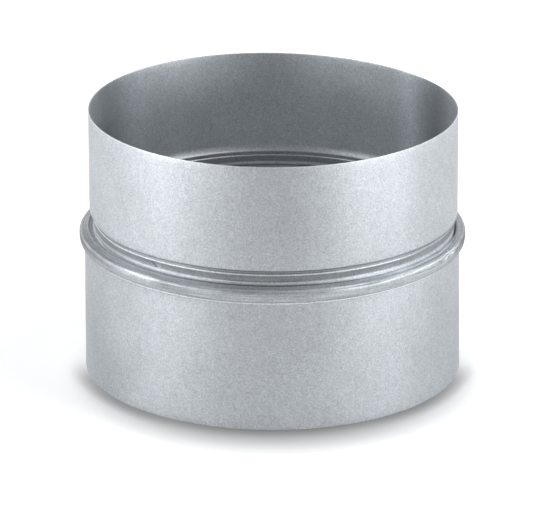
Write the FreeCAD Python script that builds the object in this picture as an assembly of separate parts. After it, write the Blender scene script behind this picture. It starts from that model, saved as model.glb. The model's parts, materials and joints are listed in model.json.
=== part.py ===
import FreeCAD, Part

import math
import os

# Galvanised duct connector, standing on its socket end, +Z up.
# Two sheet-metal sleeves are locked together by a seam rolled into a bead at mid height.
# The origin is the centre of the bottom rim. All sizes are in millimetres.

# Sheet and the two duct ends
SHEET = 0.5                  # thickness of the zinc-coated sheet, both sleeves
DUCT_DIAMETER = 160.0        # nominal inside diameter of the ducts that are joined
SPIGOT_UNDERSIZE = 1.0       # spigot's outside is this much less, to push into a duct
SOCKET_OVERSIZE = 1.8        # socket's inside is this much more, to push over a duct
SOCKET_LENGTH = 55.9         # bottom rim to the start of the bead
SPIGOT_LENGTH = 52.0         # top of the bead to the top rim

# Bead rolled into the top of the lower sleeve
BEAD_PROJECTION = 2.8        # socket wall out to where the bead's side would meet its top
BEAD_HEIGHT = 7.6            # end of the socket wall to the bead's cut edge, its highest place
CROWN_FALL = 0.9             # the bead's top slopes down by this, out to its side
BEAD_SHOULDER_RISE = 1.3     # how far the lower shoulder climbs as it steps out
BEAD_SIDE_LEAN = 0.65        # the bead's side leans out by this towards its top
BEAD_ROOT_RADIUS = 1.0       # hollow between socket wall and shoulder
BEAD_SHOULDER_RADIUS = 1.2   # rounded outer corner of the shoulder
BEAD_CROWN_RADIUS = 2.0      # rounded outer edge of the bead's top
CREVICE_WIDTH = 1.4          # open ring between the bead's cut edge and the collar

# Collar of the upper sleeve, just above the bead, drawn in and ribbed by the seam rolls.
# Heights are measured up from the bead's cut edge, depths in from the spigot's outside.
NECK_HEIGHT = 6.75           # where the straight spigot wall turns in
GROOVE_DEPTH = 0.9           # narrow groove under the spigot wall
GROOVE_TOP = 6.0
GROOVE_FOOT = 5.3
CREST_DEPTH = 0.35           # sharp, narrow rib below the groove
CREST_TOP = 4.9
CREST_FOOT = 4.35
BAND_TOP_DEPTH = 0.95        # smooth band, which leans in towards its foot
BAND_TOP = 4.0
BAND_FOOT_DEPTH = 1.15
BAND_FOOT = 1.9
FOOT_RIB_DEPTH = 0.75        # broad rib that stands beside the bead
FOOT_RIB_TOP = 1.6
NECK_RADIUS = 0.4
BAND_RADIUS = 0.3            # hollow corner under the sharp rib
FOOT_RIB_RADIUS = 0.3
FOOT_TURN_RADIUS = 0.3       # hollow corner where the collar turns out under the bead

# Hook of the upper sleeve, nested under the bead
SEAM_CLEARANCE = 0.05        # between the two sheets inside the bead
HOOK_STANDOFF = 2.2          # hook's cut edge above the bead's lower shoulder

# Sizes that follow
spigot_radius = (DUCT_DIAMETER - SPIGOT_UNDERSIZE) / 2
socket_radius = (DUCT_DIAMETER + SOCKET_OVERSIZE) / 2 + SHEET
bead_radius = socket_radius + BEAD_PROJECTION
bead_top = SOCKET_LENGTH + BEAD_HEIGHT
top_rim = bead_top + SPIGOT_LENGTH
collar_radius = spigot_radius - FOOT_RIB_DEPTH
lip_radius = collar_radius + CREVICE_WIDTH
shoulder_height = SOCKET_LENGTH + BEAD_SHOULDER_RISE
seam_step = SHEET + SEAM_CLEARANCE


# An outline is a list of corners, each (distance from the axis, height, bend radius).


def direction(start, end):
    """Direction from one corner to the next, as a pair of length one."""
    length = math.dist(start[:2], end[:2])
    return (end[0] - start[0]) / length, (end[1] - start[1]) / length


def shifted(outline, distance):
    """The outline moved by a distance to the right of its direction of travel.

    Each side moves square to itself and each new corner is where two moved sides meet, so a
    bend keeps its centre: its radius shrinks on a right turn and grows on a left turn.
    """
    moved = []
    last = len(outline) - 1
    for i, (r, z, radius) in enumerate(outline):
        before = direction(outline[max(i - 1, 0)], outline[max(i, 1)])
        after = direction(outline[min(i, last - 1)], outline[min(i + 1, last)])
        slide = distance / (1 + before[0] * after[0] + before[1] * after[1])
        turn = before[0] * after[1] - before[1] * after[0]
        bend = max(radius + math.copysign(distance, turn), 0) if radius else 0
        moved.append((r + (before[1] + after[1]) * slide,
                      z - (before[0] + after[0]) * slide, bend))
    return moved


def bend_reaches(outline):
    """How far each bend reaches along its sides, cut back where two bends share a short side."""
    half_turns = [0.0]
    for before, corner, after in zip(outline, outline[1:], outline[2:]):
        a, b = direction(before, corner), direction(corner, after)
        half_turns.append(math.acos(max(-1, min(1, a[0] * b[0] + a[1] * b[1]))) / 2)
    half_turns.append(0.0)
    wanted = [corner[2] * math.tan(half) for corner, half in zip(outline, half_turns)]
    reaches = list(wanted)
    for i in range(len(outline) - 1):
        side = math.dist(outline[i][:2], outline[i + 1][:2])
        both = wanted[i] + wanted[i + 1]
        if both > side:
            reaches[i] = min(reaches[i], wanted[i] * side / both * 0.99)
            reaches[i + 1] = min(reaches[i + 1], wanted[i + 1] * side / both * 0.99)
    return reaches, half_turns


def rounded_edges(outline):
    """The outline as straight edges joined by true arcs at its bends."""
    def point(r, z):
        return FreeCAD.Vector(r, 0, z)

    reaches, half_turns = bend_reaches(outline)
    pieces = []
    here = outline[0][:2]
    for i in range(1, len(outline) - 1):
        r, z = outline[i][:2]
        reach = reaches[i]
        before = direction(outline[i - 1], outline[i])
        after = direction(outline[i], outline[i + 1])
        start = (r - before[0] * reach, z - before[1] * reach)
        end = (r + after[0] * reach, z + after[1] * reach)
        pieces.append(Part.LineSegment(point(*here), point(*start)))
        if reach > 0:
            chord_middle = ((start[0] + end[0]) / 2, (start[1] + end[1]) / 2)
            toward_centre = direction((r, z), chord_middle)
            rise = reach * (1 / math.sin(half_turns[i]) - 1 / math.tan(half_turns[i]))
            middle = (r + toward_centre[0] * rise, z + toward_centre[1] * rise)
            pieces.append(Part.Arc(point(*start), point(*middle), point(*end)))
        here = end
    pieces.append(Part.LineSegment(point(*here), point(*outline[-1][:2])))
    return [piece.toShape() for piece in pieces]


def sheet_ring(outline):
    """A sheet of even thickness under an outline, closed by its two cut edges and turned once."""
    under = shifted(outline, SHEET)
    cuts = [rounded_edges([outline[0], under[0]]), rounded_edges([outline[-1], under[-1]])]
    edges = rounded_edges(outline) + rounded_edges(under) + cuts[0] + cuts[1]
    section = Part.Face(Part.Wire(Part.__sortEdges__(edges)))
    return section.revolve(FreeCAD.Vector(0, 0, 0), FreeCAD.Vector(0, 0, 1), 360)


def bead_outline():
    """Outside of the bead, from its cut edge over the crown and down its side."""
    return [
        (lip_radius, bead_top, 0),
        (bead_radius, bead_top - CROWN_FALL, BEAD_CROWN_RADIUS),
        (bead_radius - BEAD_SIDE_LEAN, shoulder_height, BEAD_SHOULDER_RADIUS),
    ]


def lower_sleeve():
    """Socket wall, with the bead rolled into its top and closed over the hook."""
    wall = [
        (socket_radius, SOCKET_LENGTH, BEAD_ROOT_RADIUS),
        (socket_radius, 0, 0),
    ]
    return sheet_ring(bead_outline() + wall)


def hook_outline():
    """The bead's outline moved in by one sheet and the clearance.

    It starts where the moved top meets the collar and ends at the hook's cut edge.
    """
    lip, crown, side = shifted(bead_outline(), seam_step)
    slope = (lip[1] - crown[1]) / (crown[0] - lip[0])
    foot = (collar_radius, lip[1] + (lip[0] - collar_radius) * slope, FOOT_TURN_RADIUS)
    cut_height = shoulder_height + HOOK_STANDOFF
    share = (crown[1] - cut_height) / (crown[1] - side[1])
    return [foot, crown, (crown[0] + (side[0] - crown[0]) * share, cut_height, 0)]


def collar_corner(depth, height, bend=0):
    """A corner measured in from the spigot's outside and up from the bead's cut edge."""
    return spigot_radius - depth, bead_top + height, bend


def upper_sleeve():
    """Spigot wall, drawn in and ribbed at its collar, then hooked out under the bead."""
    spigot_and_collar = [
        (spigot_radius, top_rim, 0),
        collar_corner(0, NECK_HEIGHT, NECK_RADIUS),
        collar_corner(GROOVE_DEPTH, GROOVE_TOP),
        collar_corner(GROOVE_DEPTH, GROOVE_FOOT),
        collar_corner(CREST_DEPTH, CREST_TOP),
        collar_corner(CREST_DEPTH, CREST_FOOT),
        collar_corner(BAND_TOP_DEPTH, BAND_TOP, BAND_RADIUS),
        collar_corner(BAND_FOOT_DEPTH, BAND_FOOT),
        collar_corner(FOOT_RIB_DEPTH, FOOT_RIB_TOP, FOOT_RIB_RADIUS),
    ]
    return sheet_ring(spigot_and_collar + hook_outline())


os.makedirs("parts", exist_ok=True)
upper_sleeve().exportStep("parts/upper_sleeve.step")
lower_sleeve().exportStep("parts/lower_sleeve.step")
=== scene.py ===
import json
import math

import bpy
import numpy as np
from mathutils import Matrix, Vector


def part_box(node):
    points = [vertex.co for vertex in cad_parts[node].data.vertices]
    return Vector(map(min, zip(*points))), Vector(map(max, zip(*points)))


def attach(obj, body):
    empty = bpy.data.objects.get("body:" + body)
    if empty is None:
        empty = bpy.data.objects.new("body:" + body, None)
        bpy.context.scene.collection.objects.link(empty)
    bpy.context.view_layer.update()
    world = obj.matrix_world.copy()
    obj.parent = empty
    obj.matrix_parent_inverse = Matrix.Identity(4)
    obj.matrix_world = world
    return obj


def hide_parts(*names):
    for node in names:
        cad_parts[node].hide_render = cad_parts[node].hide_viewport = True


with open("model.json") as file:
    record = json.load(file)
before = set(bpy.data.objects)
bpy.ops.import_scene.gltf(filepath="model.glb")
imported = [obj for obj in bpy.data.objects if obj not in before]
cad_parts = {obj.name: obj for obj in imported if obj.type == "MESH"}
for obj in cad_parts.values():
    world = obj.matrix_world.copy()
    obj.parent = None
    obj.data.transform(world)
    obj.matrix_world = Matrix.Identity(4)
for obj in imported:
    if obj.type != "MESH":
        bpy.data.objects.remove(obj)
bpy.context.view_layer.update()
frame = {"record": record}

# Galvanised duct connector, standing on its socket end on a white floor.
# Two thin sleeves are rolled together at mid height. Metres, +Z up, the camera on the -Y side.

MM = 0.001

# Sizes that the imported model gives
mounts = {mount["name"]: mount for mount in frame["record"]["mounts"]}
SPIGOT_RADIUS = mounts["spigot"]["dims"]["r_mm"] * MM
SOCKET_BORE_RADIUS = mounts["socket"]["dims"]["r_mm"] * MM
TOP_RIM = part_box("upper_sleeve")[1][2]
BEAD_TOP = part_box("lower_sleeve")[1][2]

# Sheet
SHEET = 0.5 * MM
SHEARED_EDGE_ROUND = 0.2 * MM      # the shears leave each cut edge slightly rounded
SEAM_CLEARANCE = 0.05 * MM
SOCKET_RADIUS = SOCKET_BORE_RADIUS + SHEET

# Rolled bead of the lower sleeve
BEAD_PROJECTION = 2.7 * MM
BEAD_HEIGHT = 7.6 * MM
BEAD_SHOULDER_RISE = 1.3 * MM
BEAD_SHOULDER_RADIUS = 1.2 * MM
BEAD_SIDE_LEAN = 0.65 * MM
BEAD_SIDE_RADIUS = 8.0 * MM        # the side is slightly barrel-shaped
WIDEST_BELOW_TOP = 3.6 * MM
CROWN_INSET = 0.35 * MM            # the crown's corner stands in from the widest place by this
CROWN_RADIUS = 1.7 * MM
CROWN_FALL = 0.8 * MM              # the bead's top slopes down by this, out to its side
CREVICE_WIDTH = 0.95 * MM
FOOT_RIB_DEPTH = 0.75 * MM
HOOK_STANDOFF = 2.2 * MM

BEAD_ROOT = BEAD_TOP - BEAD_HEIGHT
COLLAR_RADIUS = SPIGOT_RADIUS - FOOT_RIB_DEPTH
BEAD_EDGE = COLLAR_RADIUS + CREVICE_WIDTH    # radius of the bead's cut edge

# Grid of each sleeve
COLUMNS = 540                      # round the duct
CLOSER_MARGIN = 0.3                # share of a column kept clear beside a span of closer columns
LAP_ANGLE = math.radians(-39.6)    # where the drawn-in band laps over itself
LAP_COLUMNS = (LAP_ANGLE, math.radians(2.2), 60)      # closer columns: middle, half span, count
WRINKLE_ANGLE = math.radians(63)
WRINKLE_SPAN = math.radians(14)
WRINKLE_COLUMNS = (WRINKLE_ANGLE, WRINKLE_SPAN, 110)
BEND_STEP = math.radians(16)       # turn between two rows of a bend
RUN_STEP = 3.2 * MM                # longest gap between two rows of a straight run
BEAD_STEP = 0.35 * MM              # the same on the bead, where it is wrinkled
BEND_SHARE = 0.99                  # two bends take at most this share of the side between them
NO_LENGTH = 1e-9                   # shorter than this counts as nothing


# Sheet outlines: rows of (distance from the axis, height, bend radius, longest gap after it)

def collar_corner(depth, height, bend):
    """A corner measured in from the spigot's outside and up from the bead's top, in millimetres."""
    return SPIGOT_RADIUS - depth * MM, BEAD_TOP + height * MM, bend * MM, RUN_STEP


def root_corner(out, height, bend):
    """A corner measured out from the socket's outside and up from the bead's root, in millimetres."""
    return SOCKET_RADIUS + out * MM, BEAD_ROOT + height * MM, bend * MM, RUN_STEP


def shifted(outline, distance):
    """The outline moved square to each of its sides; a moved corner lies where moved sides meet.

    Corner + distance * (n1 + n2) / (1 + n1 . n2), where n1 and n2 point to the right of travel.
    """
    rz, bend = outline[:, :2], outline[:, 2]
    along = np.diff(rz, axis=0)
    along /= np.linalg.norm(along, axis=1)[:, None]
    before = np.vstack([along[:1], along])
    after = np.vstack([along, along[-1:]])
    right = np.stack([before[:, 1] + after[:, 1], -before[:, 0] - after[:, 0]], axis=1)
    moved = rz + right * (distance / (1 + (before * after).sum(axis=1)))[:, None]
    turn = before[:, 0] * after[:, 1] - before[:, 1] * after[:, 0]
    new_bend = np.where(bend > 0, np.maximum(bend + np.copysign(distance, turn), 0), 0)
    return np.column_stack([moved, new_bend, np.full(len(rz), RUN_STEP)])


def rounded_loop(corners):
    """Rows along a closed outline: each corner becomes an arc and long runs are divided evenly.

    A bend of radius b that turns by an angle t touches its two sides b * tan(t / 2) from the
    corner. Where two bends want more than their side, both shrink in proportion.
    """
    rz, bend = corners[:, :2], corners[:, 2]
    to_next = np.roll(rz, -1, axis=0) - rz
    side = np.linalg.norm(to_next, axis=1)
    after = to_next / side[:, None]
    before = np.roll(after, 1, axis=0)
    cross = before[:, 0] * after[:, 1] - before[:, 1] * after[:, 0]
    turn = np.arctan2(cross, (before * after).sum(axis=1))
    wanted = bend * np.tan(np.abs(turn) / 2)
    both = np.maximum(wanted + np.roll(wanted, -1), NO_LENGTH)
    share = np.minimum(1, BEND_SHARE * side / both)
    reach = wanted * np.minimum(share, np.roll(share, 1))
    rows = []
    for i in range(len(corners)):
        entry = rz[i] - before[i] * reach[i]
        leave = rz[i] + after[i] * reach[i]
        if reach[i] > NO_LENGTH:
            radius = reach[i] / math.tan(abs(turn[i]) / 2)
            steps = max(2, math.ceil(abs(turn[i]) / BEND_STEP))
            angle = np.linspace(0, turn[i], steps + 1)[:, None]
            inward = np.array([-before[i, 1], before[i, 0]]) * math.copysign(1, turn[i])
            centre = entry + inward * radius
            rows.append(centre - inward * radius * np.cos(angle)
                        + before[i] * radius * np.sin(np.abs(angle)))
        else:
            rows.append(rz[i][None])
        following = (i + 1) % len(corners)
        target = rz[following] - before[following] * reach[following]
        steps = max(1, math.ceil(np.linalg.norm(target - leave) / corners[i, 3]))
        between = np.linspace(0, 1, steps + 1)[1:-1, None]
        rows.append(leave + (target - leave) * between)
    return np.vstack(rows)


def sheet_loop(outline):
    """Closed section of the sheet under an outline, with its two cut edges slightly rounded."""
    under = shifted(outline, SHEET)
    over = outline.copy()
    over[[0, -1], 2] = SHEARED_EDGE_ROUND
    under[[0, -1], 2] = SHEARED_EDGE_ROUND
    return rounded_loop(np.vstack([over, under[::-1]]))


def bead_outline():
    """Outside of the bead, from its cut edge over the crown and down its side."""
    outer = SOCKET_RADIUS + BEAD_PROJECTION
    shoulder = BEAD_ROOT + BEAD_SHOULDER_RISE
    return np.array([
        (BEAD_EDGE, BEAD_TOP, 0, BEAD_STEP),
        (outer - CROWN_INSET, BEAD_TOP - CROWN_FALL, CROWN_RADIUS, BEAD_STEP),
        (outer, BEAD_TOP - WIDEST_BELOW_TOP, BEAD_SIDE_RADIUS, BEAD_STEP),
        (outer - BEAD_SIDE_LEAN, shoulder, BEAD_SHOULDER_RADIUS, RUN_STEP),
    ])


def lower_outline():
    """Bead and socket wall, from the bead's cut edge down to the bottom rim.

    A narrow step is left under the bead, where the rolls end.
    """
    wall = np.array([
        root_corner(0.5, 1.5, 0.1),
        root_corner(0.5, 0.75, 0.1),
        root_corner(0.42, 0.4, 0.1),
        root_corner(0.0, 0.05, 0.2),
        (SOCKET_RADIUS, 0, 0, RUN_STEP),
    ])
    return np.vstack([bead_outline(), wall])


def upper_outline():
    """Spigot wall, groove, ribs and the hook under the bead, from the top rim down."""
    lip, crown, widest, side = shifted(bead_outline(), SHEET + SEAM_CLEARANCE)
    slope = (lip[1] - crown[1]) / (crown[0] - lip[0])
    cut_height = side[1] + HOOK_STANDOFF
    share = (widest[1] - cut_height) / (widest[1] - side[1])
    return np.array([
        (SPIGOT_RADIUS, TOP_RIM, 0, RUN_STEP),
        collar_corner(0.0, 6.75, 0.3),       # foot of the plain wall
        collar_corner(0.9, 6.0, 0.3),        # groove
        collar_corner(0.9, 5.4, 0.2),
        collar_corner(0.35, 5.05, 0.12),     # sharp rib
        collar_corner(0.35, 4.5, 0.12),
        collar_corner(0.95, 4.15, 0.2),      # smooth band
        collar_corner(1.15, 1.85, 0.2),
        collar_corner(0.75, 1.55, 0.2),      # foot rib
        collar_corner(0.75, 0.6, 0.3),
        (COLLAR_RADIUS, lip[1] + (lip[0] - COLLAR_RADIUS) * slope, 0.3 * MM, RUN_STEP),
        tuple(crown),
        tuple(widest),
        (widest[0] + (side[0] - widest[0]) * share, cut_height, 0, RUN_STEP),
    ])


# Sleeves

def column_angles(closer):
    """Even columns round the duct, closer on one span given as its middle, half width and count."""
    middle, span, count = closer
    angles = np.linspace(-math.pi, math.pi, COLUMNS, endpoint=False)
    margin = CLOSER_MARGIN * (angles[1] - angles[0])
    apart = np.abs(angles - middle) > span + margin
    return np.sort(np.concatenate([angles[apart], middle + np.linspace(-span, span, count)]))


def carried_round(name, loop, closer, out_of_true, painted_light):
    """Mesh of a closed section carried once round the axis.

    Column angle a and section row (r, z) give the point (r' sin a' + x, -r' cos a', z'), where
    out_of_true returns the worked sheet's own angle a', shift x, radius r' and height z'. The
    painted light and shade that the last argument gives for (a, r, z) and the height z are kept
    on each vertex for the metal.
    """
    # The section has to run anticlockwise for the faces to point outwards
    area = np.sum(loop[:, 0] * np.roll(loop[:, 1], -1) - np.roll(loop[:, 0], -1) * loop[:, 1])
    if area < 0:
        loop = loop[::-1]
    rows = len(loop)
    angle = column_angles(closer)
    a, r = np.meshgrid(angle, loop[:, 0], indexing="ij")
    _, z = np.meshgrid(angle, loop[:, 1], indexing="ij")
    turned, shift, radius, height = out_of_true(a, r, z)
    points = np.stack([radius * np.sin(turned) + shift, -radius * np.cos(turned), height], axis=2)

    columns = len(angle)
    column, row = np.meshgrid(np.arange(columns), np.arange(rows), indexing="ij")
    next_column, next_row = (column + 1) % columns, (row + 1) % rows
    quads = np.stack([column * rows + row, next_column * rows + row,
                      next_column * rows + next_row, column * rows + next_row], axis=2)
    mesh = bpy.data.meshes.new(name)
    mesh.vertices.add(columns * rows)
    mesh.vertices.foreach_set("co", points.reshape(-1))
    mesh.loops.add(quads.size)
    mesh.loops.foreach_set("vertex_index", quads.reshape(-1))
    mesh.polygons.add(columns * rows)
    mesh.polygons.foreach_set("loop_start", np.arange(0, quads.size, 4))
    mesh.update(calc_edges=True)
    mesh.polygons.foreach_set("use_smooth", np.ones(columns * rows, dtype=bool))

    # The pattern map runs round the duct and along the sheet, both in metres
    length = np.concatenate([[0], np.cumsum(np.linalg.norm(np.diff(loop, axis=0), axis=1))])
    closing = length[-1] + np.linalg.norm(loop[0] - loop[-1])
    ends = np.append(length, closing)
    start = angle[column] * SPIGOT_RADIUS
    end = np.append(angle[1:], angle[0] + 2 * math.pi)[column] * SPIGOT_RADIUS
    u = np.stack([start, end, end, start], axis=2)
    v = np.stack([ends[row], ends[row], ends[row + 1], ends[row + 1]], axis=2)
    pattern = mesh.uv_layers.new(name="pattern")
    pattern.data.foreach_set("uv", np.stack([u, v], axis=3).reshape(-1))
    for title, values in (("painted_light", painted_light(a, r, z)), ("drawn_height", z)):
        kept = mesh.attributes.new(title, "FLOAT", "POINT")
        kept.data.foreach_set("value", values.reshape(-1))
    mesh.validate()

    sleeve = bpy.data.objects.new(name, mesh)
    bpy.context.scene.collection.objects.link(sleeve)
    return sleeve


# Where the sheet was worked, as soft steps, windows and spots

def step(value, start, end):
    """Smooth rise from 0 at start to 1 at end."""
    share = np.clip((value - start) / (end - start), 0, 1)
    return share * share * (3 - 2 * share)


def window(value, start, full, fading, end):
    """Smooth rise from start to full and smooth fall from fading to end."""
    return step(value, start, full) * (1 - step(value, fading, end))


def bell(value, middle, half_width):
    """exp(-((value - middle) / half width) squared)."""
    return np.exp(-((value - middle) / half_width) ** 2)


def rising(value, limits):
    """Step between two limits in millimetres."""
    return step(value, limits[0] * MM, limits[1] * MM)


def at_height(z, span):
    """Window over the height above the bead's top, in millimetres: start, full, fading, end."""
    return window(z - BEAD_TOP, *(height * MM for height in span))


def on_right(a, span):
    """Window over the degrees to the right of the front: start, full, fading, end."""
    return window(a, *np.radians(span))


def on_left(a, span):
    """Window over the degrees to the left of the front."""
    return on_right(-a, span)


def spot(a, middle_and_half_width):
    """Bell round the duct, in degrees to the right of the front."""
    return bell(a, *np.radians(middle_and_half_width))


def spots_round(a, spots):
    """Sum of spots round the duct, each given as its share, middle and half width in degrees."""
    return sum(share * spot(a, place) for share, *place in spots)


def waves(a, counts, shifts):
    """Sum of whole waves round the duct, each with its own count and shift."""
    return sum(np.sin(count * a + shift) for count, shift in zip(counts, shifts)) / len(counts)


def across_bead(r, z):
    """Distance over the bead from its cut edge, outwards and downwards added up."""
    return (r - BEAD_EDGE) + (BEAD_TOP - z)


# Both sleeves lean and are slightly out of round
LOWER_LEAN = -0.0079               # sideways shift of the socket for each unit of height
LOWER_PLUMB_HEIGHT = 25 * MM       # the leaning socket crosses the axis here
UPPER_LEAN = -0.0114
UPPER_OFFSET = 0.5 * MM            # the spigot sits this far to the right in its seam
UPPER_SPREAD = 0.15 * MM           # the spigot is wider by this at its foot than at its rim
LOWER_PINCH = 0.2 * MM             # the bead's rolls draw the socket in by this
FLARE = 0.65 * MM                  # the socket opens by this much from the bead to its rim
RIM_SET_BACK = 0.8 * MM
RIM_SET_LEFT = 0.2 * MM
RIM_WAVES = ((2, 0.55, -57), (3, 0.5, 72), (4, 0.25, -30))    # count, millimetres, degrees
RIM_FADING = 1.5                   # power by which the rim's form dies out towards the collar

# Bead: ranges in millimetres, out from its cut edge or up from its top
SIDE_OUT = (0.8, 3.2)
SIDE_UP = (-7.4, -5.5)
CROWN_OUT = (1.0, 3.0)
CROWN_UP = (-5.5, -2.2)
LIP_OUT = (0, 1.8)
LIP_UP = (-3.0, -2.0)
SLOT_OUT = (0.3, 0.8)

# Bead: how far it was moved, and spans in degrees
SIDE_DRAW = 0.35 * MM              # the bead stands out less on its left
SIDE_SPREAD = 0.15 * MM            # and more on its right
REAR_DRAW_LEFT = 0.8 * MM          # it is drawn in by this more behind its left side
REAR_DRAW_RIGHT = 0.3 * MM
REAR_SPAN_LEFT = (86, 112, 120, 150)
REAR_SPAN_RIGHT = (80, 104, 120, 150)
CROWN_RISE = 0.45 * MM             # the bead's top is fuller by this on its right
CROWN_RISE_SPAN = (28, 48, 62, 82)
LIP_FALL = 0.5 * MM                # far right, the bead's edge is rolled down by this
LIP_CLOSING = 0.7 * MM             # and in towards the collar by this
LIP_SPAN = (52, 70, 125, 150)
SLOT_SPAN = (76, 79, 90, 95)       # a short slot stays open beside the collar here
SLOT_DEPTH = 1.0 * MM              # and both sheets are lower there by this
SLOT_OPENING = 0.7                 # share of the rolling down that the slot is spared
RIPPLE = 0.06 * MM                 # hand of the seam rolls on the bead
RIPPLE_HEIGHTS = (-7.4, -5.5, -1.2, 0)
RIPPLE_WAVES = ((13, 31, 58, 97), (0.4, 2.1, 4.0, 1.2))      # counts, shifts
ROOT_LINE = (0.6 * MM, 0.7 * MM)   # height above the bead's root, half width
ROOT_WANDER = 0.06 * MM            # the bead's root wanders up and down by this
ROOT_KNOCK = 0.2 * MM              # and by this in front
ROOT_KNOCK_SPOT = (10, 5)
ROOT_KNOCK_COUNT = 62
ROOT_WAVES = ((9, 23, 41), (1, 3, 5))

# Bead: folds where the two passes of the rolls meet
WRINKLE = 0.26 * MM
WRINKLE_PITCH = 1.5 * MM           # from fold to fold, measured across the bead
WRINKLE_ACROSS = (0.6 * MM, 1.6 * MM, 6.0 * MM, 8.5 * MM)
WRINKLE_SLANT = 22                 # turn of phase for each radian round the duct
WRINKLE_WAVER = (1.3, 47)          # the folds waver by this phase, this often round the duct
WRINKLE_FADING = 0.4               # and fade and come back by this share
WRINKLE_FADING_ROUND = 83
WRINKLE_FADING_ACROSS = 0.9 / MM
WRINKLE_TURN = (1.5, 5.0)          # they move the sheet up on the crown and out past here

# Collar: heights in millimetres above the bead's top, spans in degrees
LAP_SLANT = math.radians(0.9) / MM    # turn of the lap's line for each unit of height
LAP_SLANT_HALF_WIDTH = math.radians(1.5)
LAP_HEIGHT = BEAD_TOP + 2.8 * MM
LAP_STEP = 0.12 * MM               # the band is deeper by this on the lap's left
LAP_STEP_REACH = math.radians(14)  # which fades out over this angle
LAP_STEP_FULL = math.radians(1)
LAP_CUT = 0.4 * MM                 # depth of the lap's line
LAP_CUT_HALF_WIDTH = 0.45 * MM
BAND_HEIGHTS = (1.5, 1.9, 3.95, 4.3)
CREST_HEIGHTS = (3.6, 4.1, 5.1, 5.5)
CREST_FLATTENING = 0.5 * MM        # the sharp rib is lower by this on the right
CREST_SPAN = (44, 58, 120, 150)
CREST_HAND = 0.035 * MM            # hand of the rolls on the sharp rib
CREST_WAVES = ((19, 43, 71), (0.7, 2.9, 5.1))
COLLAR_DRAW = 0.9 * MM             # far left, the collar is drawn in by this more
COLLAR_DRAW_HEIGHTS = (-0.9, -0.3, 5.9, 6.9)
COLLAR_DRAW_SPOT = (-94, 22)
COLLAR_RISE = 1.6 * MM             # and is taller by this
COLLAR_RISE_HEIGHTS = (2.2, 4.6, 8, 14)
COLLAR_RISE_SPAN = (56, 84, 104, 150)
RECESS_FILL = 0.4 * MM             # and the ring beside the bead is shallower by this
RECESS_HEIGHTS = (-1.0, -0.5, 0.1, 0.5)
RECESS_SPAN = (58, 76, 120, 150)
RECESS_WIDTH = (0, 1.2)            # the ring ends here, out from the bead's cut edge
SLOT_DENT = 1.0 * MM               # the collar's foot is dented beside the bead, far right
SLOT_DENT_HEIGHTS = (0.2, 0.6, 1.6, 2.0)
SLOT_DENT_SPOT = (86, 8)
HOOK_TOP = (0, 0.5)                # the hook ends here, up from the bead's top
HOOK_START = (0, 0.4)              # and starts here, out from the bead's cut edge
HOOK_FOLLOWS = (0, 2.6)            # it leans and is pinched with the socket past here


def rim_bulge(a):
    """How far the spigot's rim stands out of round: set back, oval, and pressed in on its left.

    -back * cos a - left * sin a + the sum of size * cos(count * a + turn).
    """
    bulge = -RIM_SET_BACK * np.cos(a) - RIM_SET_LEFT * np.sin(a)
    return bulge + sum(size * MM * np.cos(count * a + math.radians(turn))
                       for count, size, turn in RIM_WAVES)


def rolled_over(a, r, z):
    """How the rolls moved both sheets of the bead: inward and downward, as two distances.

    The bead is drawn in on its left and behind both sides, and spread a little on its right,
    where its crown stands fuller. On the far right its edge is rolled down and in, which closes
    the ring beside the collar up to a short slot. Inward = closing * edge + side * draw, where
    the draw grows with sin a squared. Downward = fall * edge - crown's rise + slot's depth.
    """
    out, above = r - BEAD_EDGE, z - BEAD_TOP
    slot = on_right(a, SLOT_SPAN)
    side = rising(out, SIDE_OUT) * rising(above, SIDE_UP)
    draw = (np.where(a < 0, SIDE_DRAW, -SIDE_SPREAD) * np.sin(a) ** 2
            + REAR_DRAW_LEFT * on_left(a, REAR_SPAN_LEFT)
            + REAR_DRAW_RIGHT * on_right(a, REAR_SPAN_RIGHT))
    crown = rising(out, CROWN_OUT) * rising(above, CROWN_UP)
    rise = CROWN_RISE * crown * on_right(a, CROWN_RISE_SPAN)
    edge = (1 - rising(out, LIP_OUT)) * rising(above, LIP_UP)
    closed = edge * on_right(a, LIP_SPAN) * (1 - SLOT_OPENING * slot)
    at_slot = SLOT_DEPTH * (1 - rising(out, SLOT_OUT)) * slot
    return LIP_CLOSING * closed + side * draw, LIP_FALL * closed - rise + at_slot


def folds(a, r, z):
    """Height of the folds where the two passes of the rolls meet, from -1 to 1.

    They follow sin(2 pi s / pitch + slant * a + waver), where s is the distance across the bead
    from its edge, and fade with another wave.
    """
    across = across_bead(r, z)
    waver, waver_count = WRINKLE_WAVER
    phase = (2 * math.pi * across / WRINKLE_PITCH + WRINKLE_SLANT * (a - WRINKLE_ANGLE)
             + waver * np.sin(waver_count * a))
    fading = np.sin(WRINKLE_FADING_ROUND * a + WRINKLE_FADING_ACROSS * across)
    strength = 1 - WRINKLE_FADING + WRINKLE_FADING * fading
    folded = bell(a, WRINKLE_ANGLE, WRINKLE_SPAN / 2) * window(across, *WRINKLE_ACROSS)
    return folded * np.sin(phase) * strength


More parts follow.
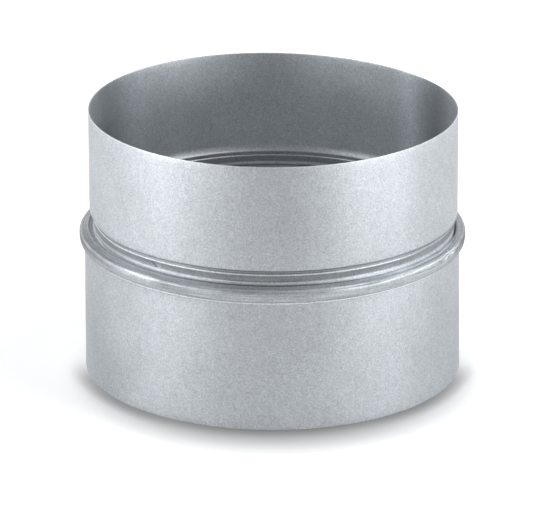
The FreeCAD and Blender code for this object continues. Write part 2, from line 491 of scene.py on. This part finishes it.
def lower_out_of_true(a, r, z):
    """The socket wall opens evenly towards its rim, and the whole sleeve leans.

    The bead is rippled by the rolls and folded where their two passes meet on the right.
    x = lean * (z - plumb height). r' = r + flare * (share of the way down) - pinch + ripple -
    inward + fold on the side. z' = z + wander at the root - downward + fold on the crown.
    """
    down = np.clip((BEAD_ROOT - z) / BEAD_ROOT, 0, 1)
    ripple = RIPPLE * at_height(z, RIPPLE_HEIGHTS) * waves(a, *RIPPLE_WAVES)
    knock = ROOT_KNOCK * spot(a, ROOT_KNOCK_SPOT) * np.sin(ROOT_KNOCK_COUNT * a)
    near_root = bell(z - BEAD_ROOT, *ROOT_LINE)
    wander = near_root * (knock + ROOT_WANDER * waves(a, *ROOT_WAVES))
    inward, downward = rolled_over(a, r, z)
    fold = WRINKLE * folds(a, r, z)
    sideways = rising(across_bead(r, z), WRINKLE_TURN)
    return (a, LOWER_LEAN * (z - LOWER_PLUMB_HEIGHT),
            r + FLARE * down - LOWER_PINCH + ripple - inward + fold * sideways,
            z + wander - downward + fold * (1 - sideways))


def lap_in_band(a, z):
    """Depth of the lap in the drawn-in band and the turn of its slanting line.

    Depth = step on its left, which fades out, + a bell across its cut. Turn = slant * (height of
    the lap's middle - z).
    """
    on_band = at_height(z, BAND_HEIGHTS)
    beside = (a - LAP_ANGLE) * SPIGOT_RADIUS
    left_of_lap = 1 - step(beside, -LAP_CUT_HALF_WIDTH, LAP_CUT_HALF_WIDTH)
    dying_out = step(a, LAP_ANGLE - LAP_STEP_REACH, LAP_ANGLE - LAP_STEP_FULL)
    cut = LAP_CUT * bell(beside, 0, LAP_CUT_HALF_WIDTH)
    turn = LAP_SLANT * (LAP_HEIGHT - z) * bell(a, LAP_ANGLE, LAP_SLANT_HALF_WIDTH)
    return on_band * (LAP_STEP * left_of_lap * dying_out + cut), on_band * turn


def upper_out_of_true(a, r, z):
    """The spigot narrows evenly towards its rim, stands off the bead's centre and leans.

    The sharp rib dies away towards the right side, the collar is drawn in further on the far
    left, and the band laps over itself in front of the left side along a slanting cut. Inside the
    bead the hook leans with the socket. a' = a + slant. x = offset + lean * height, or the
    socket's. r' = r + spread + rim's bulge + collar - inward. z' = z - downward + collar's rise +
    recess.
    """
    out, above = r - BEAD_EDGE, z - BEAD_TOP
    down = np.clip((TOP_RIM - z) / (TOP_RIM - BEAD_TOP), 0, 1)
    at_hook = 1 - rising(above, HOOK_TOP)
    in_bead = at_hook * rising(out, HOOK_FOLLOWS)
    spigot_shift = UPPER_OFFSET + UPPER_LEAN * (z - BEAD_TOP)
    socket_shift = LOWER_LEAN * (z - LOWER_PLUMB_HEIGHT)
    spread = UPPER_SPREAD * down * (1 - in_bead) - LOWER_PINCH * in_bead
    rim = rim_bulge(a) * (1 - down) ** RIM_FADING

    crest = CREST_HAND * waves(a, *CREST_WAVES) - CREST_FLATTENING * on_right(a, CREST_SPAN)
    lap, slant = lap_in_band(a, z)
    dent = SLOT_DENT * at_height(z, SLOT_DENT_HEIGHTS) * spot(a, SLOT_DENT_SPOT)
    beside_bead = 1 - rising(out, RECESS_WIDTH)
    on_collar = at_height(z, COLLAR_DRAW_HEIGHTS) * beside_bead
    drawn = COLLAR_DRAW * on_collar * spot(a, COLLAR_DRAW_SPOT)
    collar = at_height(z, CREST_HEIGHTS) * crest - lap - dent - drawn
    taller = COLLAR_RISE * on_left(a, COLLAR_RISE_SPAN) * at_height(z, COLLAR_RISE_HEIGHTS)

    between = SHEET + SEAM_CLEARANCE
    inward, downward = rolled_over(a, r + between, z + between)
    fill = RECESS_FILL * on_left(a, RECESS_SPAN) - SLOT_DEPTH * on_right(a, SLOT_SPAN)
    recess = at_height(z, RECESS_HEIGHTS) * beside_bead * fill
    return (a + slant, spigot_shift * (1 - in_bead) + socket_shift * in_bead,
            r + spread + rim + collar - inward * at_hook * rising(out, HOOK_START),
            z - downward * at_hook + taller + recess)


# Painted light and shade on the zinc, as shares gained or lost against the plain sheet.
# Heights are in millimetres above the bead's top and spans in degrees.

BEAD_SIDE_HEIGHTS = (-7.0, -6.0, -1.2, -0.5)
BEAD_CROWN_HEIGHTS = (-4.2, -3.0, -0.9, -0.4)
BEAD_ENDS = (58, 82)               # degrees to both sides, from where painted shade dims the bead
BEAD_ENDS_LOSS = 0.22
PATCH_LEFT = (15, 31, 32, 40)      # painted shade patches on the crown in front, dimming its highlights
PATCH_RIGHT = (20, 32, 37, 44)
PATCH_RIGHT_SHARE = 0.36
PATCH_LOSS = 0.57
PATCH_SIDE_GAIN = 0.06             # below them a painted highlight brightens the side
# Painted shade on the crown, more towards its ends, dims its highlights
CROWN_LOSS = 0.06
CROWN_END_LOSS_LEFT = 0.22
CROWN_END_LEFT = (46, 62, 120, 140)
CROWN_END_LOSS_RIGHT = 0.36
CROWN_END_RIGHT = (66, 78, 120, 140)
TOP_UP = (-1.2, -0.5)              # the top starts here, up from its cut edge
# Painted light on the bead's top at both ends
TOP_END_GAIN = 0.12
TOP_END_RIGHT = (51.6, 74.5)       # degrees from where the painted light on the top is stronger still
ROLLED_EDGE_HIGHLIGHT = 0.6             # a painted highlight beside the edge that is rolled down
ROLLED_EDGE_SPAN = (34, 44, 64, 76)
ROLLED_EDGE_PLACE = (1.0 * MM, 0.6 * MM)    # distance out from the cut edge, half width
CUT_EDGE_HIGHLIGHT = 0.4                # a painted highlight on the cut edge itself, on the left
CUT_EDGE_SPAN = (48, 66, 110, 130)
CUT_EDGE_HALF_WIDTH = 0.5 * MM
CUT_EDGE_UP = (-0.5, -0.2)
# Painted shade on the bead's edge beside the slot
SLOT_EDGE_LOSS = 0.9
# Painted light and shade on the two slopes of each fold
FOLD_CONTRAST = 0.6
# Painted highlight along the bead's root
ROOT_GAIN = 0.25
ROOT_GAIN_PLACE = (0.5 * MM, 0.5 * MM)    # height above the bead's root, half width
ROOT_GAIN_SPOT = (45, 22)

# Painted shade in the seam beside the bead
SEAM_SHADE_HEIGHTS = (-1.2, -0.6, 0.1, 0.6)
SEAM_SHADE_LIFT = 1.3             # the painted shade in the seam is lifted on the far left
SEAM_SHADE_LIFT_SPAN = (28, 76, 120, 150)
# Painted shade in the slot
SLOT_LOSS = 0.8
# Painted shade on the collar on its right
COLLAR_HEIGHTS = (0.3, 1.0, 5.5, 6.5)
COLLAR_LOSS = 0.16
COLLAR_LOSS_SPAN = (62, 76, 120, 150)
# Painted shade that fades the sharp rib's highlight on the right
CREST_SHADE_HEIGHTS = (3.9, 4.4, 5.1, 5.4)
CREST_LOSS = 0.32
CREST_LOSS_SPAN = (40, 54, 120, 150)
# Painted shade in the lap's cut line
LAP_LOSS = 0.6
LAP_GAIN = 0.3                     # a painted highlight beside the lap's line
LAP_GAIN_PLACE = (2.5 * MM, 1.8 * MM)
SPIGOT_WALL = (6.5, 8.0)           # the plain wall starts here, up from the bead's top
# Painted reflections and painted shade on that wall: share, middle, half width in degrees
OUTSIDE_PAINTED_SPOTS = ((-0.07, -26, 7), (-0.07, 34, 8))
INSIDE_PAINTED_REFLECTIONS = ((0.38, 130, 5), (-0.3, 115, 7), (0.16, -132, 6), (-0.15, -115, 7))
# Painted light on the outer wall's left
OUTSIDE_GAIN = 0.08
OUTSIDE_GAIN_SPAN = (42, 60, 80, 95)
# Painted reflection on the inside wall towards the rear
REAR_GAIN = 0.08
REAR_GAIN_LIMITS = (0.92, 0.98)    # cosines of the angle from the rear


def lower_painted_light(a, r, z):
    """Painted light and shade on the bead: painted highlights at its edges, painted shade at its ends.

    1 - losses on the side and on the crown + gains on the top, on the folds and at both edges.
    """
    out, above = r - BEAD_EDGE, z - BEAD_TOP
    slot = on_right(a, SLOT_SPAN)
    ends = step(np.abs(a), *np.radians(BEAD_ENDS))
    far_right = step(a, *np.radians(TOP_END_RIGHT))
    patch = on_left(a, PATCH_LEFT) + PATCH_RIGHT_SHARE * on_right(a, PATCH_RIGHT)
    side = BEAD_ENDS_LOSS * ends - PATCH_SIDE_GAIN * patch
    crown = (CROWN_LOSS + PATCH_LOSS * patch + CROWN_END_LOSS_RIGHT * on_right(a, CROWN_END_RIGHT)
             + CROWN_END_LOSS_LEFT * on_left(a, CROWN_END_LEFT))
    rolled_edge = bell(out, *ROLLED_EDGE_PLACE) * on_right(a, ROLLED_EDGE_SPAN)
    cut_edge = bell(out, 0, CUT_EDGE_HALF_WIDTH)
    top = (TOP_END_GAIN * (ends + far_right) + ROLLED_EDGE_HIGHLIGHT * rolled_edge
           - SLOT_EDGE_LOSS * cut_edge * slot)
    # Painted highlight on the cut edge on the left
    edge_highlight = CUT_EDGE_HIGHLIGHT * cut_edge * rising(above, CUT_EDGE_UP) * on_left(a, CUT_EDGE_SPAN)
    root = ROOT_GAIN * bell(z - BEAD_ROOT, *ROOT_GAIN_PLACE) * spot(a, ROOT_GAIN_SPOT)
    return (1 - at_height(z, BEAD_SIDE_HEIGHTS) * side - at_height(z, BEAD_CROWN_HEIGHTS) * crown
            + rising(above, TOP_UP) * top + FOLD_CONTRAST * folds(a, r, z) + edge_highlight + root)


def upper_painted_light(a, r, z):
    """Painted light and shade on the collar and the wall, with painted reflections inside.

    1 + gains on the wall, in the seam and beside the lap - losses on the collar and its rib.
    """
    outside = OUTSIDE_GAIN * on_left(a, OUTSIDE_GAIN_SPAN) + spots_round(a, OUTSIDE_PAINTED_SPOTS)
    inside = REAR_GAIN * step(-np.cos(a), *REAR_GAIN_LIMITS) + spots_round(a, INSIDE_PAINTED_REFLECTIONS)
    wall = np.where(r < SPIGOT_RADIUS - SHEET / 2, inside, outside)
    seam = (r > COLLAR_RADIUS - SHEET / 2) * (SEAM_SHADE_LIFT * on_left(a, SEAM_SHADE_LIFT_SPAN)
                                              - SLOT_LOSS * on_right(a, SLOT_SPAN))
    collar = COLLAR_LOSS * on_right(a, COLLAR_LOSS_SPAN)
    crest = CREST_LOSS * on_right(a, CREST_LOSS_SPAN)
    beside = (a - LAP_ANGLE) * SPIGOT_RADIUS
    lap = LAP_GAIN * bell(beside, *LAP_GAIN_PLACE) - LAP_LOSS * bell(beside, 0, LAP_CUT_HALF_WIDTH)
    return (1 + rising(z - BEAD_TOP, SPIGOT_WALL) * wall + at_height(z, SEAM_SHADE_HEIGHTS) * seam
            - at_height(z, COLLAR_HEIGHTS) * collar - at_height(z, CREST_SHADE_HEIGHTS) * crest
            + at_height(z, BAND_HEIGHTS) * lap)


# Materials

def new_material(name):
    material = bpy.data.materials.new(name)
    material.use_nodes = True
    material.node_tree.nodes.clear()
    return material, material.node_tree.nodes, material.node_tree.links


def math_node(nodes, links, operation, first, second):
    """Math node on two inputs, each a socket or a number."""
    node = nodes.new("ShaderNodeMath")
    node.operation = operation
    for socket, value in zip(node.inputs, (first, second)):
        if isinstance(value, (int, float)):
            socket.default_value = value
        else:
            links.new(value, socket)
    return node.outputs[0]


def scaled(nodes, links, value, factor):
    return math_node(nodes, links, "MULTIPLY", value, factor)


def total(nodes, links, *terms):
    """Sum of two or more values."""
    whole = terms[0]
    for term in terms[1:]:
        whole = math_node(nodes, links, "ADD", whole, term)
    return whole


def kept_value(nodes, name):
    """Value that the mesh keeps on each vertex under this name."""
    node = nodes.new("ShaderNodeAttribute")
    node.attribute_name = name
    return node.outputs["Fac"]


def tinted(nodes, links, value, colour, target):
    """The colour times the value, sent to a shader's colour input."""
    tint = nodes.new("ShaderNodeVectorMath")
    tint.operation = "SCALE"
    tint.inputs[0].default_value = colour
    links.new(value, tint.inputs["Scale"])
    links.new(tint.outputs["Vector"], target)


def grain(nodes, links, place, size):
    """Fractal noise centred on zero, with spots about as wide as size."""
    noise = nodes.new("ShaderNodeTexNoise")
    noise.inputs["Scale"].default_value = 1 / size
    noise.inputs["Detail"].default_value = NOISE_DETAIL
    links.new(place, noise.inputs["Vector"])
    return math_node(nodes, links, "SUBTRACT", noise.outputs["Fac"], 0.5)


def streaks(nodes, links, length, spacing):
    """Noise drawn out round the duct, as rolls leave it, centred on zero."""
    pattern = nodes.new("ShaderNodeUVMap")
    pattern.uv_map = "pattern"
    stretch = nodes.new("ShaderNodeMapping")
    stretch.inputs["Scale"].default_value = (1 / length, 1 / spacing, 1)
    noise = nodes.new("ShaderNodeTexNoise")
    noise.noise_dimensions = "2D"
    noise.inputs["Scale"].default_value = 1.0
    noise.inputs["Detail"].default_value = NOISE_DETAIL
    links.new(pattern.outputs["UV"], stretch.inputs["Vector"])
    links.new(stretch.outputs["Vector"], noise.inputs["Vector"])
    return math_node(nodes, links, "SUBTRACT", noise.outputs["Fac"], 0.5)


def height_profile(nodes, links, stops):
    """Grey value that follows the section's own height.

    The stops are (millimetres above the bead's top, value).
    """
    low, high = stops[0][0] * MM, stops[-1][0] * MM
    above = math_node(nodes, links, "SUBTRACT", kept_value(nodes, "drawn_height"), BEAD_TOP + low)
    share = math_node(nodes, links, "DIVIDE", above, high - low)
    ramp = nodes.new("ShaderNodeValToRGB")
    elements = ramp.color_ramp.elements
    while len(elements) < len(stops):
        elements.new(0.5)
    # Places come first, because the ramp keeps its stops in their order
    for element, (stop, _) in zip(elements, stops):
        element.position = (stop * MM - low) / (high - low)
    for element, (_, value) in zip(elements, stops):
        element.color = (value, value, value, 1)
    links.new(share, ramp.inputs["Fac"])
    return ramp.outputs["Color"]


ZINC = (0.567, 0.597, 0.627)
NOISE_DETAIL = 2.0
SPECKLE = (0.65 * MM, 0.9)         # width of the spots, share of the brightness
MOTTLE = (3.0 * MM, 0.2)
CLOUD = (22.0 * MM, 0.16)
ROLL_STREAKS = (28 * MM, 0.45 * MM)    # length round the duct, spacing
BURNISH_STREAKS = (16 * MM, 1.6 * MM)
CLOUD_ROUGHNESS = 0.15
BURNISH_POLISH = 0.6
GRAIN_HEIGHT = 0.02 * MM

# Profiles: millimetres above the bead's top, value
# Painted shade beside the bead, on the band and in the groove; painted highlights on the foot rib, the
# sharp rib and the top rim
SPIGOT_PAINTED_LIGHT = (
    (-1.0, 0.9), (-0.7, 0.4), (0.0, 0.45), (0.5, 1.0), (1.4, 1.1), (1.8, 0.57), (4.2, 0.57),
    (4.45, 1.3), (5.0, 1.3), (5.25, 0.6), (6.1, 0.6), (6.8, 0.97), (7.5, 1.0), (51.5, 1.0),
    (51.8, 1.2))
SPIGOT_ROLLED = ((-0.5, 0.3), (1.8, 0.3), (4.6, 0.2), (6.3, 0.15), (7.5, 0.0))
SPIGOT_SHEEN = ((-0.5, 0.45), (1.8, 0.45), (2.1, 0.6), (4.2, 0.6), (4.4, 0.45), (7.5, 0.5))
# Painted highlight along the bead's root, with a painted dark line just above it
SOCKET_PAINTED_LIGHT = (
    (-8.0, 1.0), (-7.4, 1.0), (-7.25, 1.5), (-6.8, 1.5), (-6.6, 0.9), (-6.4, 0.65), (-6.0, 0.65),
    (-5.7, 0.97), (-3.0, 0.97), (-1.5, 0.98), (0.0, 1.02))
SOCKET_ROLLED = ((-8.0, 0.0), (-7.2, 0.05), (-6.1, 0.7), (0.0, 0.7))
SOCKET_SHEEN = ((-8.0, 0.5), (-6.5, 0.48), (-3.5, 0.47), (0.0, 0.47))


def galvanised(name, painted_light, rolled, sheen):
    """Hot-dip zinc: matt blue-grey metal with a fine grain, broad clouds and roll streaks.

    The three profiles follow the height: painted light and shade (shade beside the bead, on the
    band and in the groove, highlights on the ribs, the root and the top rim), share of roll streaks,
    and roughness.
    """
    material, nodes, links = new_material(name)
    output = nodes.new("ShaderNodeOutputMaterial")
    metal = nodes.new("ShaderNodeBsdfPrincipled")
    metal.inputs["Metallic"].default_value = 1.0
    place = nodes.new("ShaderNodeTexCoord").outputs["Object"]

    speckle, mottle, cloud = [grain(nodes, links, place, size) for size, _ in (SPECKLE, MOTTLE, CLOUD)]
    worked = height_profile(nodes, links, rolled)
    rolls = scaled(nodes, links, streaks(nodes, links, *ROLL_STREAKS), worked)
    burnish = scaled(nodes, links, streaks(nodes, links, *BURNISH_STREAKS), worked)
    value = total(nodes, links, scaled(nodes, links, speckle, SPECKLE[1]),
                  scaled(nodes, links, mottle, MOTTLE[1]), scaled(nodes, links, cloud, CLOUD[1]),
                  rolls, burnish, 1.0)
    # Painted light and shade: the height profile and the value kept on each vertex scale the zinc's
    # colour
    value = scaled(nodes, links, value, height_profile(nodes, links, painted_light))
    value = scaled(nodes, links, value, kept_value(nodes, "painted_light"))
    tinted(nodes, links, value, ZINC, metal.inputs["Base Color"])

    matt = total(nodes, links, height_profile(nodes, links, sheen),
                 scaled(nodes, links, cloud, CLOUD_ROUGHNESS))
    polish = scaled(nodes, links, burnish, BURNISH_POLISH)
    links.new(math_node(nodes, links, "SUBTRACT", matt, polish), metal.inputs["Roughness"])

    bump = nodes.new("ShaderNodeBump")
    bump.inputs["Strength"].default_value = 1.0
    bump.inputs["Distance"].default_value = GRAIN_HEIGHT
    links.new(total(nodes, links, speckle, rolls), bump.inputs["Height"])
    links.new(bump.outputs["Normal"], metal.inputs["Normal"])
    links.new(metal.outputs["BSDF"], output.inputs["Surface"])
    return material


lower = carried_round("socket_sleeve_rolled", sheet_loop(lower_outline()), WRINKLE_COLUMNS,
                      lower_out_of_true, lower_painted_light)
lower.data.materials.append(
    galvanised("zinc_socket", SOCKET_PAINTED_LIGHT, SOCKET_ROLLED, SOCKET_SHEEN))
upper = carried_round("spigot_sleeve_rolled", sheet_loop(upper_outline()), LAP_COLUMNS,
                      upper_out_of_true, upper_painted_light)
upper.data.materials.append(
    galvanised("zinc_spigot", SPIGOT_PAINTED_LIGHT, SPIGOT_ROLLED, SPIGOT_SHEEN))
for sleeve, node, material_slot in (
        (upper, "upper_sleeve", "galvanised_sheet_upper"),
        (lower, "lower_sleeve", "galvanised_sheet_lower")):
    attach(sleeve, "root")
    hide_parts(node)


# Floor

FLOOR_HALF_WIDTH = 3.0
PAPER_GREY = 0.8                   # the white sheet as the metal sees it
PAPER_WHITE = 1.3                  # and as the camera sees it
SOFT_SHADOW_RIGHT = 2 * MM
SOFT_SHADOW_FORWARD = 14 * MM      # the soft shadow lies this far towards the camera
SOFT_SHADOW_NARROWING = 1.11       # it is narrower than deep by this
SOFT_SHADOW_CORE = 62 * MM
SOFT_SHADOW_EDGE = 106 * MM
SOFT_SHADOW_DEPTH = 0.24           # brightness of the paper in its core
CONTACT_SHADE_INNER = 82.5 * MM    # the darker line round the foot fades out from here
CONTACT_SHADE_OUTER = 92 * MM      # to here
CONTACT_SHADE_FRONT = 0.12         # it takes this much of the light away in front
CONTACT_SHADE_SIDES = 0.46         # and this much at both sides
CONTACT_SHADE_MIDDLE = 34 * MM     # in front ends here, to the left and right
CONTACT_SHADE_FLANK = 70 * MM      # and the sides start here
CONTACT_SHADE_BACK = 2 * MM        # it starts behind the axis by this
CONTACT_SHADE_FULL = -30 * MM      # and is full from here towards the camera
INSIDE_SHADE = 0.7                 # brightness of the paper inside the sleeve


def smooth_range(nodes, links, value, start, end, low, high):
    """A value carried smoothly from low at start to high at end."""
    node = nodes.new("ShaderNodeMapRange")
    node.interpolation_type = "SMOOTHSTEP"
    node.inputs["From Min"].default_value = start
    node.inputs["From Max"].default_value = end
    node.inputs["To Min"].default_value = low
    node.inputs["To Max"].default_value = high
    links.new(value, node.inputs["Value"])
    return node.outputs["Result"]


def distance_from_zero(nodes, links, vector):
    node = nodes.new("ShaderNodeVectorMath")
    node.operation = "LENGTH"
    links.new(vector, node.inputs[0])
    return node.outputs["Value"]


def soft_shadow(nodes, links, place):
    """Brightness of the paper in the broad shadow under the connector, an ellipse on the floor."""
    centred = nodes.new("ShaderNodeMapping")
    centred.inputs["Location"].default_value = (-SOFT_SHADOW_RIGHT, SOFT_SHADOW_FORWARD, 0)
    centred.inputs["Scale"].default_value = (SOFT_SHADOW_NARROWING, 1, 1)
    links.new(place, centred.inputs["Vector"])
    away = distance_from_zero(nodes, links, centred.outputs["Vector"])
    return smooth_range(nodes, links, away, SOFT_SHADOW_CORE, SOFT_SHADOW_EDGE,
                        SOFT_SHADOW_DEPTH, 1)


def contact_shade(nodes, links, place, from_axis):
    """Share of the light that reaches the paper beside the bottom rim, least at both sides."""
    parts = nodes.new("ShaderNodeSeparateXYZ")
    links.new(place, parts.inputs[0])
    sideways = math_node(nodes, links, "ABSOLUTE", parts.outputs["X"], 0)
    depth = smooth_range(nodes, links, sideways, CONTACT_SHADE_MIDDLE, CONTACT_SHADE_FLANK,
                         CONTACT_SHADE_FRONT, CONTACT_SHADE_SIDES)
    in_front = smooth_range(nodes, links, parts.outputs["Y"],
                            CONTACT_SHADE_BACK, CONTACT_SHADE_FULL, 0, 1)
    ring = smooth_range(nodes, links, from_axis, CONTACT_SHADE_INNER, CONTACT_SHADE_OUTER, 1, 0)
    taken = scaled(nodes, links, scaled(nodes, links, depth, in_front), ring)
    return math_node(nodes, links, "SUBTRACT", 1, taken)


def white_paper():
    """Plain white for every ray but the camera's, which sees it brighter and with soft shadows."""
    material, nodes, links = new_material("white_paper")
    output = nodes.new("ShaderNodeOutputMaterial")
    paper = nodes.new("ShaderNodeBsdfDiffuse")
    paper.inputs["Color"].default_value = (PAPER_GREY, PAPER_GREY, PAPER_GREY, 1)
    place = nodes.new("ShaderNodeTexCoord").outputs["Object"]
    from_axis = distance_from_zero(nodes, links, place)
    shaded = scaled(nodes, links, soft_shadow(nodes, links, place),
                    contact_shade(nodes, links, place, from_axis))
    shade = nodes.new("ShaderNodeMix")
    shade.inputs["A"].default_value = INSIDE_SHADE
    links.new(math_node(nodes, links, "GREATER_THAN", from_axis, SOCKET_RADIUS),
              shade.inputs["Factor"])
    links.new(shaded, shade.inputs["B"])
    shown = nodes.new("ShaderNodeBsdfDiffuse")
    white = (PAPER_WHITE, PAPER_WHITE, PAPER_WHITE)
    tinted(nodes, links, shade.outputs["Result"], white, shown.inputs["Color"])
    path = nodes.new("ShaderNodeLightPath")
    mix = nodes.new("ShaderNodeMixShader")
    links.new(path.outputs["Is Camera Ray"], mix.inputs[0])
    links.new(paper.outputs[0], mix.inputs[1])
    links.new(shown.outputs[0], mix.inputs[2])
    links.new(mix.outputs[0], output.inputs["Surface"])
    return material


def white_floor():
    mesh = bpy.data.meshes.new("floor")
    w = FLOOR_HALF_WIDTH
    mesh.from_pydata([(-w, -w, 0), (w, -w, 0), (w, w, 0), (-w, w, 0)], [], [(0, 1, 2, 3)])
    floor = bpy.data.objects.new("floor", mesh)
    bpy.context.scene.collection.objects.link(floor)
    floor.data.materials.append(white_paper())


white_floor()


# Light

SOFTBOX_DISTANCE = 0.9
OVERHEAD_DISTANCE = 1.6
OVERHEAD_RISE = math.radians(62)   # above the horizon
OVERHEAD_DIAMETER = 0.9
OVERHEAD_TARGET = (0, 0, 60 * MM)
LAMP_WATTS = 4.0                   # watts for each square metre of a lamp of radiance one
ROOM_LIGHT = 0.3


def placed(right, up, back, origin):
    """Matrix of a lamp or a camera at origin with these X, Y and Z axes."""
    matrix = np.eye(4)
    matrix[:3, :3] = np.stack([right, up, back], axis=1)
    matrix[:3, 3] = origin
    return Matrix(matrix.tolist())


def hung_lamp(name, shape, width, height, area, radiance, origin, target):
    """Area lamp at origin that faces target, with its X axis level. The camera doesn't see it."""
    lamp = bpy.data.lights.new(name, "AREA")
    lamp.shape = shape
    lamp.size = width
    lamp.size_y = height
    lamp.energy = radiance * area * LAMP_WATTS
    hung = bpy.data.objects.new(name, lamp)
    bpy.context.scene.collection.objects.link(hung)
    back = np.subtract(origin, target) / np.linalg.norm(np.subtract(origin, target))
    right = np.cross([0, 0, 1], back)
    right /= np.linalg.norm(right)
    hung.matrix_world = placed(right, np.cross(back, right), back, origin)
    hung.visible_camera = False


def softbox(name, azimuth, width, low, high, radiance):
    """Upright rectangular lamp that faces the object.

    Azimuth 0 is the camera's side and 90 the right. Low and high are its edges above the floor.
    """
    turn = math.radians(azimuth)
    middle = (low + high) / 2
    origin = (SOFTBOX_DISTANCE * math.sin(turn), -SOFTBOX_DISTANCE * math.cos(turn), middle)
    hung_lamp(name, "RECTANGLE", width, high - low, width * (high - low), radiance,
              origin, (0, 0, middle))


def overhead(name, azimuth, radiance):
    """Round lamp high above one side of the object."""
    turn = math.radians(azimuth)
    reach = OVERHEAD_DISTANCE * math.cos(OVERHEAD_RISE)
    origin = (reach * math.sin(turn), -reach * math.cos(turn),
              OVERHEAD_DISTANCE * math.sin(OVERHEAD_RISE))
    area = math.pi * (OVERHEAD_DIAMETER / 2) ** 2
    hung_lamp(name, "DISK", OVERHEAD_DIAMETER, OVERHEAD_DIAMETER, area, radiance,
              origin, OVERHEAD_TARGET)


softbox("softbox_right_low", azimuth=62, width=0.66, low=0.02, high=0.25, radiance=4.25)
softbox("softbox_right_high", azimuth=80, width=0.8, low=0.25, high=0.9, radiance=1.4)
softbox("softbox_left_low", azimuth=-62, width=0.66, low=0.02, high=0.25, radiance=4.3)
softbox("softbox_left_high", azimuth=-80, width=0.8, low=0.25, high=0.9, radiance=1.9)
softbox("softbox_rear_left", azimuth=-130, width=0.9, low=0.02, high=0.4, radiance=1.0)
softbox("softbox_rear_right", azimuth=130, width=0.9, low=0.02, high=0.4, radiance=1.2)
overhead("overhead_left", azimuth=-90, radiance=0.6)
overhead("overhead_right", azimuth=90, radiance=2.0)
overhead("overhead_back", azimuth=180, radiance=1.0)

world = bpy.data.worlds.new("studio")
bpy.context.scene.world = world
world.use_nodes = True
room = world.node_tree.nodes["Background"]
room.inputs["Color"].default_value = (1, 1, 1, 1)
room.inputs["Strength"].default_value = ROOM_LIGHT


# Camera

PHOTO_WIDTH = 533
FOCAL_PIXELS = 3917.6
CAMERA_PITCH = math.radians(20.168)
CAMERA_ROLL = math.radians(0.09)
CAMERA_PLACE = (-2.587 * MM, -1599.94 * MM, 633.45 * MM)
SENSOR_WIDTH = 36.0

lens = bpy.data.cameras.new("camera")
lens.sensor_width = SENSOR_WIDTH
lens.sensor_fit = "HORIZONTAL"
lens.lens = FOCAL_PIXELS / PHOTO_WIDTH * SENSOR_WIDTH
camera = bpy.data.objects.new("camera", lens)
bpy.context.scene.collection.objects.link(camera)
forward = np.array([0, math.cos(CAMERA_PITCH), -math.sin(CAMERA_PITCH)])
level = np.array([1.0, 0, 0])
upward = np.cross(level, forward)
right = math.cos(CAMERA_ROLL) * level + math.sin(CAMERA_ROLL) * upward
up = -math.sin(CAMERA_ROLL) * level + math.cos(CAMERA_ROLL) * upward
camera.matrix_world = placed(right, up, -forward, CAMERA_PLACE)
bpy.context.scene.camera = camera
bpy.context.scene.view_settings.view_transform = "Standard"
